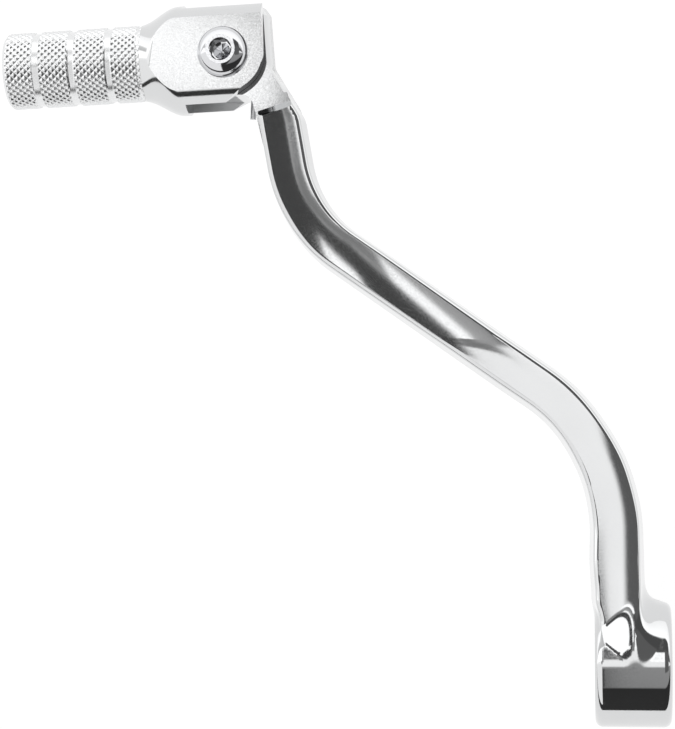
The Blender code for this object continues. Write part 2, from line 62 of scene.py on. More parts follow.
# Hub at the shift shaft. Left is the outer side and right the engine side.
HUB_RADIUS = 12.75
HUB_LEFT = -8.05
HUB_RIGHT = 7.45
HUB_EDGE = 1.6
HUB_MIDDLE = (HUB_LEFT + HUB_RIGHT) / 2
HUB_HALF_WIDTH = (HUB_RIGHT - HUB_LEFT) / 2
SPLINE_TEETH = 24
SPLINE_TIP_RADIUS = 6.0
SPLINE_ROOT_RADIUS = 6.5
SPLINE_TURN = math.radians(5.0)
LUG_REAR = -11.8
LUG_FRONT = 10.4
LUG_BOTTOM = -17.0
LUG_CORNER = 3.0
LUG_INSET = 0.5
SLIT_WIDTH = 2.0
PINCH_Z = -10.7
PINCH_SEAT_Y = -6.2

# Blade of the arm. Its middle line runs through these corners, each one rounded by its radius.
BLADE_PATH = (
    ((-74.1, 121.0), 0.0),
    ((-68.9, 91.75), 28.0),
    ((-3.55, 45.7), 37.2),
    ((-3.45, -12.75), 0.0),
)
BLADE_WIDTHS = np.array(
    (
        # Y, half-width on the outer side, half-width on the engine side
        (118.5, 4.6, 3.0),
        (112.5, 4.9, 4.9),
        (93.0, 4.85, 4.85),
        (83.0, 5.0, 5.0),
        (57.5, 5.05, 5.05),
        (50.0, 4.9, 4.9),
        (39.5, 5.25, 5.25),
        (28.0, 5.5, 5.5),
        (21.5, 5.65, 5.65),
        (13.5, 5.3, 5.8),
        (9.0, 4.5, 5.8),
        (6.0, 4.2, 5.8),
    )
)[::-1]
BLADE_DEPTH = 6.3  # half-thickness near the head
RAMP_START = 93.0
RAMP_END = 67.0
RAMP_EASE = 1.5
RAMP_GROWTH = 0.0029
FOOT_GROWTH = 0.00075
FOOT_END = 8.0
FOOT_FALL = 0.05
HEAD_GROWTH = 0.0006
BLADE_CROWNS = np.array(
    (
        # Y, fall of the face at the outer edge, fall at the engine-side edge
        (97.0, 0.22, 0.22),
        (88.0, 0.14, 0.14),
        (66.0, 0.14, 0.14),
        (50.0, 0.06, 0.12),
        (42.0, 0.06, 0.28),
        (20.0, 0.06, 0.32),
    )
)[::-1]
BLADE_DRAFT = math.tan(math.radians(6.0))
BLADE_EDGE = 0.8
HUB_BLENDS = (1.0, 4.5)  # on the outer side, on the engine side
HUB_BLEND_START = -7.5
HUB_BLEND_SPAN = 8.0

# Rings of the arm's skin, and the places along Y where their spacing changes.
RING_POINTS = 128
RING_SPACING = 1.1
RING_START = 3.0
BLADE_RINGS_END = 21.5
FOOT_RINGS = (21.0, 13.2, -0.5)
HUB_RING_TURNS = (87, -88, -3)
BLADE_REACH = 5.2
FOOT_REACH = 5.5
HUB_SHIFT_START = 14.0
HUB_SHIFT_SPAN = 8.0

# Pivot head and toe tip.
PIVOT = (-84.2, 126.5)
TIP_TILT = math.radians(2.5)
TIP_AXIS_RISE = 0.15
TONGUE_HALF = 5.1
TONGUE_RADIUS = 8.35
TONGUE_TOP = 10.0
SHOULDER_DISTANCE = 13.55
SHOULDER_TURN = math.radians(18.0)
BARREL_RADIUS = 8.05
BARREL_END = -47.1
BARREL_CHAMFER = 0.8
BARREL_JOIN = -17.7
KNURL_STARTS = 34
KNURL_DEPTH = 0.27
KNURL_FLAT = 0.72  # share of a pyramid's height that is left under its flat top
GROOVES = (-40.1, -32.5, -24.6)
GROOVE_WIDTH = 1.3
GROOVE_DEPTH = 0.35
GROOVE_FLANK = 2.2
FLARE_START = -18.4
FLARE_END = -9.8
CLEVIS_RADIUS = 11.55
FLAT_HALF = 8.65
SLOT_HALF = TONGUE_HALF + 0.3
SLOT_BOTTOM = -(TONGUE_RADIUS + 0.4)
EAR_END = 8.35
EAR_CORNER_TURN = math.radians(-57.0)

# Fasteners and spring.
THREAD_RADIUS = 3.0
THREAD_PLAY = 0.05
PIVOT_BORE_RADIUS = 4.55
PINCH_SEAT_RADIUS = 5.3
PINCH_CLEARANCE_RADIUS = 3.3
COIL_RADIUS = 5.95
POCKET_RADIUS = 7.0
POCKET_FLOOR = 0.9
LEG_CHANNEL_HALF = 0.92
LEG_HOLE_RADIUS = 0.95
BOLT_LENGTH = 25.0
BOLT_GAP = 0.3
BOLT_HEAD_RADIUS = 5.25
BOLT_HEAD_RIM = 0.3
BOLT_DOME_HEIGHT = 3.0
BOLT_DOME_TURN = math.radians(70)
BOLT_DOME_STEPS = 24
SOCKET_ACROSS = 4.05
SOCKET_DEPTH = 2.1
SOCKET_TURN = math.radians(10)

# Camera, floor and light tent. The tent is far larger than the lever, so that it works by direction alone.
TARGET = Vector((-61.11, 61.81, 0.0))
TOWARDS_CAMERA = Vector((0.108, -0.060, 1.0)).normalized()
CAMERA_DISTANCE = 521.5
SENSOR_HEIGHT = 36.0
VIEW_SPREAD = 0.2916  # height of the view over its distance
STAGE_REACH = 60.0  # metres
TENT_FOOT = -9.0  # metres
TENT_STEPS = 48
FLOOR_GAP = 0.05
TENT_TONES = (
    # degrees from +Z towards +Y, brightness
    (-95.0, 0.04),
    (-42.0, 0.035),
    (-39.0, 0.33),
    (-2.5, 0.36),
    (-0.5, 1.22),
    (10.0, 1.25),
    (13.0, 0.13),
    (29.0, 0.11),
    (33.0, 0.70),
    (48.0, 0.85),
    (54.0, 1.60),
    (98.0, 1.25),
)
TENT_PANELS = (
    # brightness, degrees from +Z towards +X and their edge, degrees from +Z towards +Y and their edge
    (1.60, (0.7, 3.8, 0.25), (8.0, 25.0, 1.0)),
    (0.09, (0.7, 60.0, 0.25), (28.0, 52.0, 2.0)),
    (0.14, (4.2, 60.0, 1.5), (-12.0, 30.0, 2.0)),
    (1.12, (-200.0, -9.0, 2.0), (-76.0, 3.2, 1.0)),
    (1.60, (-200.0, -1.6, 0.5), (8.7, 34.0, 0.3)),
    (0.26, (-4.7, -1.2, 0.5), (6.7, 15.5, 0.4)),
    (0.075, (-10.0, -4.7, 0.4), (12.0, 32.0, 0.2)),
    (0.075, (-7.5, -4.7, 0.4), (8.0, 13.0, 0.3)),
    (0.07, (-19.0, -4.8, 0.6), (3.0, 9.1, 0.2)),
    (0.09, (-4.0, -0.06, 0.12), (-40.0, -5.0, 1.5)),
    (0.45, (-3.0, -0.5, 0.3), (11.0, 28.0, 1.5)),
)

METALS = (
    # name, colour, roughness and its spread, size of the marks, bump, stretch of the marks
    ("polished_aluminium", (0.66, 0.665, 0.67), 0.06, 0.02, 0.35, 0.05, (1.0, 1.0, 1.0)),
    ("knurled_aluminium", (0.80, 0.805, 0.81), 0.24, 0.06, 0.2, 0.2, (1.0, 1.0, 1.0)),
    ("machined_aluminium", (0.68, 0.685, 0.69), 0.09, 0.03, 0.25, 0.05, (1.0, 1.0, 1.0)),
    ("plated_steel", (0.66, 0.665, 0.68), 0.08, 0.03, 0.3, 0.06, (1.0, 1.0, 1.0)),
    ("zinc_steel", (0.55, 0.56, 0.58), 0.28, 0.08, 0.4, 0.2, (1.0, 1.0, 1.0)),
    ("spring_steel", (0.60, 0.60, 0.61), 0.22, 0.06, 0.2, 0.2, (1.0, 1.0, 1.0)),
    ("milled_aluminium", (0.74, 0.745, 0.75), 0.38, 0.08, 0.5, 0.6, (4.0, 0.3, 1.0)),
)
CARRIED_OVER = {
    "pivot_bushing": "zinc_steel",
    "pivot_washer": "zinc_steel",
    "pivot_nut": "zinc_steel",
    "nut_insert": "nylon",
    "return_spring": "spring_steel",
    "pinch_bolt": "zinc_steel",
}


# ---------------------------------------------------------------- materials


def new_material(name):
    material = bpy.data.materials.new(name)
    material.use_nodes = True
    tree = material.node_tree
    return material, tree, tree.nodes["Principled BSDF"]


def noise(tree, scale, detail, place=None):
    node = tree.nodes.new("ShaderNodeTexNoise")
    node.inputs["Scale"].default_value = scale
    node.inputs["Detail"].default_value = detail
    if place:
        tree.links.new(place, node.inputs["Vector"])
    return node.outputs["Fac"]


def vary_roughness(tree, shader, marks, limits, roughness, spread):
    """Roughness that follows the marks as they go from one limit to the other."""
    rough = tree.nodes.new("ShaderNodeMapRange")
    rough.inputs["From Min"].default_value = limits[0]
    rough.inputs["From Max"].default_value = limits[1]
    rough.inputs["To Min"].default_value = roughness - spread
    rough.inputs["To Max"].default_value = roughness + spread
    tree.links.new(marks, rough.inputs["Value"])
    tree.links.new(rough.outputs["Result"], shader.inputs["Roughness"])


def vary_colour(tree, shader, marks, colour, change):
    """Base colour that follows the marks, by a share of itself to either side."""
    tint = tree.nodes.new("ShaderNodeMix")
    tint.data_type = "RGBA"
    tint.inputs["A"].default_value = (*[c * (1 - change) for c in colour], 1.0)
    tint.inputs["B"].default_value = (*[c * (1 + change) for c in colour], 1.0)
    tree.links.new(marks, tint.inputs["Factor"])
    tree.links.new(tint.outputs["Result"], shader.inputs["Base Color"])


def metal(name, colour, roughness, spread, grain, bump, stretch):
    """A metal whose roughness and surface vary finely; grain is the size of the marks in millimetres."""
    material, tree, shader = new_material(name)
    shader.inputs["Metallic"].default_value = 1.0
    place = tree.nodes.new("ShaderNodeTexCoord")
    lay = tree.nodes.new("ShaderNodeMapping")
    lay.inputs["Scale"].default_value = [s / (grain * MM) for s in stretch]
    tree.links.new(place.outputs["Object"], lay.inputs["Vector"])
    marks = noise(tree, 1.0, 3.0, lay.outputs["Vector"])
    broad = noise(tree, 90.0, 2.0, place.outputs["Object"])
    vary_roughness(tree, shader, marks, (0.3, 0.7), roughness, spread)
    vary_colour(tree, shader, broad, colour, 0.03)
    relief = tree.nodes.new("ShaderNodeBump")
    relief.inputs["Strength"].default_value = bump
    relief.inputs["Distance"].default_value = 0.01 * MM
    tree.links.new(marks, relief.inputs["Height"])
    tree.links.new(relief.outputs["Normal"], shader.inputs["Normal"])
    return material


def plastic(name, colour, roughness):
    material, tree, shader = new_material(name)
    grain = noise(tree, 2500.0, 2.0)
    vary_roughness(tree, shader, grain, (0.0, 1.0), roughness, 0.1)
    vary_colour(tree, shader, grain, colour, 0.1)
    return material


# ---------------------------------------------------------------- meshes


def mesh_from_rings(name, rings):
    """Skins equal closed rings of points, in millimetres, into one mesh with a face over each end."""
    rings = np.asarray(rings, dtype=float) * MM
    levels, count = rings.shape[:2]
    at = np.arange(levels * count).reshape(levels, count)
    beside = np.roll(at, -1, axis=1)
    quads = np.stack([at[:-1], beside[:-1], beside[1:], at[1:]], axis=-1).reshape(-1, 4)
    faces = [*quads.tolist(), at[0, ::-1].tolist(), at[-1].tolist()]
    mesh = bpy.data.meshes.new(name)
    mesh.from_pydata(rings.reshape(-1, 3).tolist(), [], faces)
    outward = bmesh.new()
    outward.from_mesh(mesh)
    bmesh.ops.recalc_face_normals(outward, faces=outward.faces)
    outward.to_mesh(mesh)
    outward.free()
    return mesh


def put(name, mesh):
    thing = bpy.data.objects.new(name, mesh)
    bpy.context.scene.collection.objects.link(thing)
    return thing


def combined(name, base, steps):
    """A new mesh: the base with each (mesh, operation) applied in turn."""
    body = put(name, base)
    guides = []
    for mesh, operation in steps:
        guide = put(mesh.name, mesh)
        guides.append(guide)
        step = body.modifiers.new(mesh.name, "BOOLEAN")
        step.operation = operation
        step.solver = "EXACT"
        step.object = guide
    graph = bpy.context.evaluated_depsgraph_get()
    made = bpy.data.meshes.new_from_object(body.evaluated_get(graph))
    made.name = name
    for thing in [body, *guides]:
        bpy.data.objects.remove(thing)
    return made


def read_rows(items, attribute, width):
    values = np.empty(len(items) * width)
    items.foreach_get(attribute, values)
    return values.reshape(-1, width)


def read_counts(items, attribute):
    values = np.empty(len(items), dtype=int)
    items.foreach_get(attribute, values)
    return values


def polish(mesh, surfaces, angle=28.0, reach=0.02):
    """Sets exact normals where a face lies on one of the surfaces, and smooth ones by angle elsewhere.

    Each surface is a function that takes points in millimetres and returns distances and normals.
    """
    mesh.shade_smooth()
    mesh.set_sharp_from_angle(angle=math.radians(angle))
    normals = read_rows(mesh.corner_normals, "vector", 3)
    vertex_of = read_counts(mesh.loops, "vertex_index")
    totals = read_counts(mesh.polygons, "loop_total")
    face_count = len(totals)
    face_of = np.repeat(np.arange(face_count), totals)
    face_normals = read_rows(mesh.polygons, "normal", 3)
    points = read_rows(mesh.vertices, "co", 3) / MM
    taken = np.zeros(face_count, dtype=bool)
    for surface in surfaces:
        distance, exact = surface(points)
        on = (np.abs(distance) < reach)[vertex_of]
        along = np.einsum("ij,ij->i", exact[vertex_of], face_normals[face_of]) > 0.87
        good = np.bincount(face_of, weights=on & along, minlength=face_count) == totals
        good &= ~taken
        use = good[face_of]
        normals[use] = exact[vertex_of][use]
        taken |= good
    mesh.normals_split_custom_set(normals.tolist())
    return mesh


def finish_piece(name, mesh, material, body, nodes):
    mesh.materials.clear()
    mesh.materials.append(material)
    piece = put(name, mesh)
    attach(piece, body)
    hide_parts(*nodes)
    return piece


def prism(name, outline, low, high):
    return mesh_from_rings(name, [[(x, y, z) for x, y in outline] for z in (low, high)])


def turned(name, profile, steps=96, place=None):
    """Spins a profile of (radius, height) points about Z, then places it with a matrix."""
    angles = np.linspace(0.0, 2 * math.pi, steps, endpoint=False)
    profile = np.asarray(profile, dtype=float)
    rings = np.empty((len(profile), steps, 3))
    rings[:, :, 0] = profile[:, :1] * np.cos(angles)
    rings[:, :, 1] = profile[:, :1] * np.sin(angles)
    rings[:, :, 2] = profile[:, 1:]
    if place:
        rings = moved(rings, place)
    return mesh_from_rings(name, rings)


def moved(points, place):
    matrix = np.array(place)
    return points @ matrix[:3, :3].T + matrix[:3, 3]


# ---------------------------------------------------------------- plane geometry


def arc(centre, radius, start, end, steps):
    points = []
    for i in range(steps + 1):
        angle = start + (end - start) * i / steps
        points.append((centre[0] + radius * math.cos(angle), centre[1] + radius * math.sin(angle)))
    return points


def rounded(corners, steps=5):
    """A closed outline from ((x, y), radius) corners, each one rounded off with an arc."""
    outline = []
    for i, (corner, radius) in enumerate(corners):
        here = Vector(corner)
        if radius == 0.0:
            outline.append(tuple(here))
            continue
        before = (Vector(corners[i - 1][0]) - here).normalized()
        after = (Vector(corners[(i + 1) % len(corners)][0]) - here).normalized()
        half = before.angle(after) / 2
        centre = here + (before + after).normalized() * (radius / math.sin(half))
        first = here + before * (radius / math.tan(half)) - centre
        last = here + after * (radius / math.tan(half)) - centre
        sweep = first.angle_signed(last)
        for k in range(steps + 1):
            angle = math.atan2(first.y, first.x) - sweep * k / steps
            outline.append((centre.x + radius * math.cos(angle), centre.y + radius * math.sin(angle)))
    return outline


def regular(radius, sides, turn=0.0):
    angles = [turn + 2 * math.pi * i / sides for i in range(sides)]
    return [(radius * math.cos(a), radius * math.sin(a)) for a in angles]


def path_pieces():
    """The blade's middle line as straight runs and arcs, each with its length."""
    corners = [Vector(corner) for corner, _ in BLADE_PATH]
    pieces = []
    at = corners[0]
    for i in range(1, len(corners)):
        heading = (corners[i] - at).normalized()
        radius = BLADE_PATH[i][1]
        if i == len(corners) - 1:
            pieces.append(("line", at, heading, (corners[i] - at).length))
            break
        after = (corners[i + 1] - corners[i]).normalized()
        sweep = heading.angle_signed(after)
        trim = radius * math.tan(abs(sweep) / 2)
        straight = (corners[i] - at).length - trim
        pieces.append(("line", at, heading, straight))
        side = Vector((heading.y, -heading.x)) * math.copysign(1.0, sweep)
        centre = at + heading * straight + side * radius
        pieces.append(("arc", centre, side, radius, sweep, heading))
        at = corners[i] + after * trim
    return pieces


PIECES = path_pieces()


def along_path(distance):
    """Point and direction on the blade's middle line at a distance from its start."""
    for piece in PIECES:
        if piece[0] == "line":
            _, start, heading, length = piece
            if distance <= length or piece is PIECES[-1]:
                return start + heading * distance, heading
        else:
            _, centre, side, radius, sweep, heading = piece
            length = radius * abs(sweep)
            if distance <= length:
                turn = Matrix.Rotation(-sweep * distance / length, 2)
                return centre + turn @ (-side * radius), turn @ heading
        distance -= length


def off_path(x, y):
    """Signed distance from the middle line, positive towards the engine side, at many points."""
    best = np.full(x.shape, 1e9)
    signed = np.zeros(x.shape)
    for i, piece in enumerate(PIECES):
        if piece[0] == "line":
            _, start, heading, length = piece
            along = (x - start.x) * heading.x + (y - start.y) * heading.y
            off = -(x - start.x) * heading.y + (y - start.y) * heading.x
            low = -1e9 if i == 0 else 0.0
            high = 1e9 if i == len(PIECES) - 1 else length
            gap = np.hypot(off, along - np.clip(along, low, high))
        else:
            _, centre, side, radius, sweep, heading = piece
            dx, dy = x - centre.x, y - centre.y
            from_centre = np.hypot(dx, dy)
            turn = math.copysign(1.0, sweep)
            off = (radius - from_centre) * -turn
            start = math.atan2(-side.y, -side.x)
            travelled = -turn * (np.arctan2(dy, dx) - start)
            travelled = (travelled + math.pi) % (2 * math.pi) - math.pi
            inside = (travelled >= 0.0) & (travelled <= abs(sweep))
            gap = np.where(inside, np.abs(off), 1e8)
        nearer = gap < best
        best = np.where(nearer, gap, best)
        signed = np.where(nearer, off, signed)
    return signed


def half_widths(y, column):
    """Half-width of the blade along Y, eased between the listed places."""
    places = BLADE_WIDTHS[:, 0]
    values = BLADE_WIDTHS[:, column]
    low = np.clip(np.searchsorted(places, y, side="right") - 1, 0, len(places) - 2)
    share = np.clip((y - places[low]) / (places[low + 1] - places[low]), 0.0, 1.0)
    ease = share * share * (3 - 2 * share)
    return values[low] + (values[low + 1] - values[low]) * ease


# ---------------------------------------------------------------- the arm's skin


def rounded_corner(across, up, radius):
    a = across + radius
    b = up + radius
    outside = np.hypot(np.maximum(a, 0.0), np.maximum(b, 0.0))
    return outside + np.minimum(np.maximum(a, b), 0.0) - radius


def blade_depth(y):
    """Half-thickness: a ramp along the slanting run, slow growth to the hub, then a fall inside it."""
    ramp = np.clip(RAMP_START - y, 0.0, RAMP_START - RAMP_END)
    past = np.maximum(RAMP_END - y, 0.0)
    turn = 2 * RAMP_GROWTH * (RAMP_START - RAMP_END)
    ease = turn * RAMP_EASE * (1 - np.exp(-past / RAMP_EASE))
    head = HEAD_GROWTH * np.maximum(y - RAMP_START, 0.0) ** 2
    fall = FOOT_FALL * np.maximum(FOOT_END - y, 0.0) ** 2
    return BLADE_DEPTH + RAMP_GROWTH * ramp**2 + ease + FOOT_GROWTH * past**2 + head - fall


def blade_crown(y, column):
    return np.interp(y, BLADE_CROWNS[:, 0], BLADE_CROWNS[:, column])


def blade_distance(x, y, z):
    u = off_path(x, y)
    half = np.where(u > 0, half_widths(y, 2), half_widths(y, 1))
    side = np.abs(u) - (half - BLADE_DRAFT * np.sqrt(z * z + 0.15))
    crown = np.where(u > 0, blade_crown(y, 2), blade_crown(y, 1))
    face = np.abs(z) - (blade_depth(y) - crown * (u / half) ** 2)
    return rounded_corner(side, face, BLADE_EDGE)


def hub_distance(x, y, z):
    side = np.abs(x - HUB_MIDDLE) - HUB_HALF_WIDTH
    return rounded_corner(side, np.hypot(y, z) - HUB_RADIUS, HUB_EDGE)


def arm_distance(x, y, z):
    blade = blade_distance(x, y, z)
    hub = hub_distance(x, y, z)
    share = np.clip((x - HUB_BLEND_START) / HUB_BLEND_SPAN, 0.0, 1.0)
    size = HUB_BLENDS[0] + (HUB_BLENDS[1] - HUB_BLENDS[0]) * share * share * (3 - 2 * share)
    blend = np.maximum(size - np.abs(blade - hub), 0.0) / size
    return np.minimum(blade, hub) - blend * blend * size / 4


def arm_surface(points):
    step = 0.02
    x, y, z = points.T
    distance = arm_distance(x, y, z)
    slope = np.stack(
        [
            arm_distance(x + step, y, z) - arm_distance(x - step, y, z),
            arm_distance(x, y + step, z) - arm_distance(x, y - step, z),
            arm_distance(x, y, z + step) - arm_distance(x, y, z - step),
        ],
        axis=1,
    )
    length = np.linalg.norm(slope, axis=1, keepdims=True)
    return distance, slope / np.maximum(length, 1e-9)


def arm_places():
    """A row for each ring: its middle, its direction across, and the shift and reach of its search rays."""
    places = []
    distance = RING_START
    middle, heading = along_path(distance)
    while middle.y > BLADE_RINGS_END:
        across = Vector((-heading.y, heading.x))
        places.append((*middle, *across, 0.0, BLADE_REACH, float(blade_depth(middle.y))))
        distance += RING_SPACING
        middle, heading = along_path(distance)
    heights = list(np.arange(*FOOT_RINGS))
    heights += [HUB_RADIUS * math.sin(math.radians(turn)) for turn in np.arange(*HUB_RING_TURNS)]
    middle_x = BLADE_PATH[-1][0][0]
    for y in heights:
        share = min(max((HUB_SHIFT_START - y) / HUB_SHIFT_SPAN, 0.0), 1.0)
        shift = share * (HUB_MIDDLE - middle_x)
        reach_across = FOOT_REACH + share * (HUB_HALF_WIDTH - FOOT_REACH)
        rim = math.sqrt(HUB_RADIUS**2 - min(abs(y), HUB_RADIUS) ** 2)
        reach_up = max(rim, float(blade_depth(y))) if y > 0 else rim
        places.append((middle_x, y, 1.0, 0.0, shift, reach_across, reach_up))
    return np.array(places)


def arm_mesh():
    """Rings across the middle line, each point found by halving along a ray from inside."""
    places = arm_places()
    columns = [places[:, i : i + 1] for i in range(places.shape[1])]
    middle_x, middle_y, across_x, across_y, shift, reach_across, reach_up = columns
    turn = 2 * math.pi * np.arange(RING_POINTS) / RING_POINTS
    turn = turn + 0.16 * np.sin(4 * turn)
    step_across = reach_across * np.cos(turn)
    step_up = reach_up * np.sin(turn)
    inside = np.zeros(step_across.shape)
    outside = np.full(step_across.shape, 3.0)
    for _ in range(36):
        share = (inside + outside) / 2
        off = shift + share * step_across
        within = arm_distance(middle_x + across_x * off, middle_y + across_y * off, share * step_up) < 0
        inside = np.where(within, share, inside)
        outside = np.where(within, outside, share)
    off = shift + inside * step_across
    rings = np.stack([middle_x + across_x * off, middle_y + across_y * off, inside * step_up], axis=-1)
    return mesh_from_rings("arm", rings)


# ---------------------------------------------------------------- the arm's head, hub and lug


def from_pivot(points):
    return [(PIVOT[0] + x, PIVOT[1] + y) for x, y in points]


def tip_turn(points):
    c, s = math.cos(TIP_TILT), math.sin(TIP_TILT)
    return [(x * c - y * s, x * s + y * c) for x, y in points]


def head_outline(engine_side):
    """The head seen along the pivot, from its corners on the engine side."""
    flank = [((8.3, -20.0), 0.0), ((6.5, -12.6), 1.0), ((5.4, -8.45), 2.6)]
    guides = [((0.6, -8.45), 0.0), ((0.0, 10.3), 0.0)]  # only give the corners beside them a direction
    sides = rounded(engine_side + flank + guides, 10)[: -len(guides)]
    round_end = arc((0.0, 0.0), TONGUE_RADIUS, math.radians(270), math.radians(180), 40)
    stop = [(-TONGUE_RADIUS, TONGUE_TOP - 0.6), (-TONGUE_RADIUS + 0.6, TONGUE_TOP)]
    return from_pivot(sides + tip_turn(round_end + stop))


def head_mesh():
    widest = [((7.9, 10.6), 0.4), ((9.1, 8.9), 0.8), ((10.0, -2.3), 3.0)]
    widest += [((15.7, -11.7), 6.0), ((16.6, -20.0), 0.0)]
    face = [((7.0, 10.5), 0.4), ((8.05, 8.3), 0.3), ((8.8, -2.3), 3.0)]
    face += [((13.9, -10.5), 6.0), ((15.4, -20.0), 0.0)]
    rings = []
    for z, side in ((-TONGUE_HALF, face), (0.0, widest), (TONGUE_HALF, face)):
        rings.append([(x, y, z) for x, y in head_outline(side)])
    return mesh_from_rings("head", rings)


def step_cutter(name, side):
    """Cuts the head down to the tongue on one side, up to a slanting shoulder."""
    low = TONGUE_HALF
    wall = 8.0
    far = -40.0
    section = [(far, low), (0.0, low), (wall, low + wall), (wall, low + 2 * wall), (far, low + 2 * wall)]
    outward = Vector((math.sin(SHOULDER_TURN), -math.cos(SHOULDER_TURN), 0.0))
    along = Vector((math.cos(SHOULDER_TURN), math.sin(SHOULDER_TURN), 0.0))
    foot = Vector((*PIVOT, 0.0)) + outward * SHOULDER_DISTANCE
    rings = []
    for span in (-30.0, 30.0):
        start = foot + along * span
        rings.append([tuple(start + outward * d + Vector((0, 0, side * z))) for d, z in section])
    return mesh_from_rings(name, rings)


def across_hub(profile, name, left, right):
    return mesh_from_rings(name, [[(x, y, z) for y, z in profile] for x in (left, right)])


def spline_outline():
    outline = []
    pitch = 2 * math.pi / SPLINE_TEETH
    root, tip = SPLINE_ROOT_RADIUS, SPLINE_TIP_RADIUS
    tooth = ((-0.40, root), (-0.15, tip), (0.15, tip), (0.40, root))
    for i in range(SPLINE_TEETH):
        middle = i * pitch + SPLINE_TURN
        for share, radius in tooth:
            angle = middle + share * pitch
            outline.append((radius * math.cos(angle), radius * math.sin(angle)))
    return outline


def along_y(x, z):
    return Matrix.Translation((x, 0.0, z)) @ Matrix.Rotation(math.radians(-90), 4, "X")


def at_pivot():
    return Matrix.Translation((*PIVOT, 0.0))


def lug_outline():
    corners = [
        ((LUG_FRONT, -1.0), 0.0),
        ((LUG_FRONT, LUG_BOTTOM), LUG_CORNER),
        ((LUG_REAR, LUG_BOTTOM), LUG_CORNER),
        ((LUG_REAR, -1.0), 0.0),
    ]
    return rounded(corners, 12)


def leg_channel_outline():
    """Way of the spring's fixed leg, from the pocket down along the arm."""
    left = COIL_RADIUS - LEG_CHANNEL_HALF
    right = COIL_RADIUS + LEG_CHANNEL_HALF
    return from_pivot([(left - LEG_CHANNEL_HALF, -16.0), (right, -16.0), (right, -0.5), (left, -0.5)])


def build_arm(material):
    left = HUB_LEFT - 5
    right = HUB_RIGHT + 5
    half = SLIT_WIDTH / 2
    slit = [(-half, -25.0), (half, -25.0), (half, -3.0), (-half, -3.0)]
    pinch = along_y(HUB_MIDDLE, PINCH_Z)
    seat = [(PINCH_SEAT_RADIUS, -20.0), (PINCH_SEAT_RADIUS, PINCH_SEAT_Y)]
    clearance = [(PINCH_CLEARANCE_RADIUS, -19.0), (PINCH_CLEARANCE_RADIUS, 0.0)]
    thread = [(THREAD_RADIUS + THREAD_PLAY, -0.5), (THREAD_RADIUS + THREAD_PLAY, 20.0)]
    bore = [(PIVOT_BORE_RADIUS, -9.0), (PIVOT_BORE_RADIUS, 9.0)]
    pocket = [(POCKET_RADIUS, -9.0), (POCKET_RADIUS, POCKET_FLOOR)]
    steps = [
        (head_mesh(), "UNION"),
        (across_hub(lug_outline(), "lug", HUB_LEFT + LUG_INSET, HUB_RIGHT - LUG_INSET), "UNION"),
        (step_cutter("step_front", 1), "DIFFERENCE"),
        (step_cutter("step_rear", -1), "DIFFERENCE"),
        (across_hub(spline_outline(), "bore", left, right), "DIFFERENCE"),
        (across_hub(slit, "slit", left, right), "DIFFERENCE"),
        (turned("pinch_seat", seat, 64, pinch), "DIFFERENCE"),
        (turned("pinch_clearance", clearance, 48, pinch), "DIFFERENCE"),
        (turned("pinch_thread", thread, 48, pinch), "DIFFERENCE"),
        (turned("pivot_bore", bore, 64, at_pivot()), "DIFFERENCE"),
        (turned("spring_pocket", pocket, 64, at_pivot()), "DIFFERENCE"),
        (prism("leg_channel", leg_channel_outline(), -9.0, POCKET_FLOOR), "DIFFERENCE"),
    ]
    mesh = combined("lever_arm_polished", arm_mesh(), steps)
    polish(mesh, [arm_surface])
    finish_piece("lever_arm_polished", mesh, material, "lever", ["lever_arm"])


# ---------------------------------------------------------------- the toe tip


def tip_place():
    lift = Matrix.Translation((*PIVOT, 0.0)) @ Matrix.Rotation(TIP_TILT, 4, "Z")
    return lift @ Matrix.Translation((0.0, TIP_AXIS_RISE, 0.0)) @ Matrix.Rotation(math.radians(90), 4, "Y")


def tip_radius(along):
    """Radius of the flare and clevis at a distance from the pivot along the axis."""
    share = np.clip((along - FLARE_START) / (FLARE_END - FLARE_START), 0.0, 1.0)
    ease = share * share * (3 - 2 * share)
    return BARREL_RADIUS + (CLEVIS_RADIUS - BARREL_RADIUS) * ease


def tip_surface(points):
    """Distances and normals of the turned flare and clevis."""
    back = np.array(tip_place().inverted())
    local = points @ back[:3, :3].T + back[:3, 3]
    radius = np.hypot(local[:, 0], local[:, 1])
    along = local[:, 2]
    slope = (tip_radius(along + 0.01) - tip_radius(along - 0.01)) / 0.02
    safe = np.maximum(radius, 1e-9)
    normal = np.stack([local[:, 0] / safe, local[:, 1] / safe, -slope], axis=1)
    normal /= np.linalg.norm(normal, axis=1, keepdims=True)
    return radius - tip_radius(along), normal @ np.array(tip_place())[:3, :3].T


def knurl_height(around, along):
    """Height of the diamond knurl: pyramids between two crossing sets of 45 degree threads."""
    pitch = 2 * math.pi * BARREL_RADIUS / KNURL_STARTS
    first = (around * BARREL_RADIUS + along) / pitch
    second = (around * BARREL_RADIUS - along) / pitch
    rise_a = np.abs((first % 1.0) - 0.5) * 2
    rise_b = np.abs((second % 1.0) - 0.5) * 2
    low = 1 - np.maximum(rise_a, rise_b)
    return np.minimum(low, KNURL_FLAT) / KNURL_FLAT


def barrel_radius(around, along):
    """Radius of the knurled barrel, its grooves, its chamfered end and its plain start at the flare."""
    radius = BARREL_RADIUS - KNURL_DEPTH * (1 - knurl_height(around, along))
    for place in GROOVES:
        past_edge = np.maximum(np.abs(along - place) - GROOVE_WIDTH / 2, 0.0)
        radius = np.minimum(radius, BARREL_RADIUS - GROOVE_DEPTH + past_edge * GROOVE_FLANK)
    radius = np.minimum(radius, BARREL_RADIUS - BARREL_CHAMFER + along - BARREL_END)
    join = BARREL_JOIN - along
    plain = BARREL_RADIUS - KNURL_DEPTH * 0.8 + np.maximum(0.5 - join, 0.0) * 0.6
    return np.where(join < 0.9, np.minimum(radius, plain), radius)


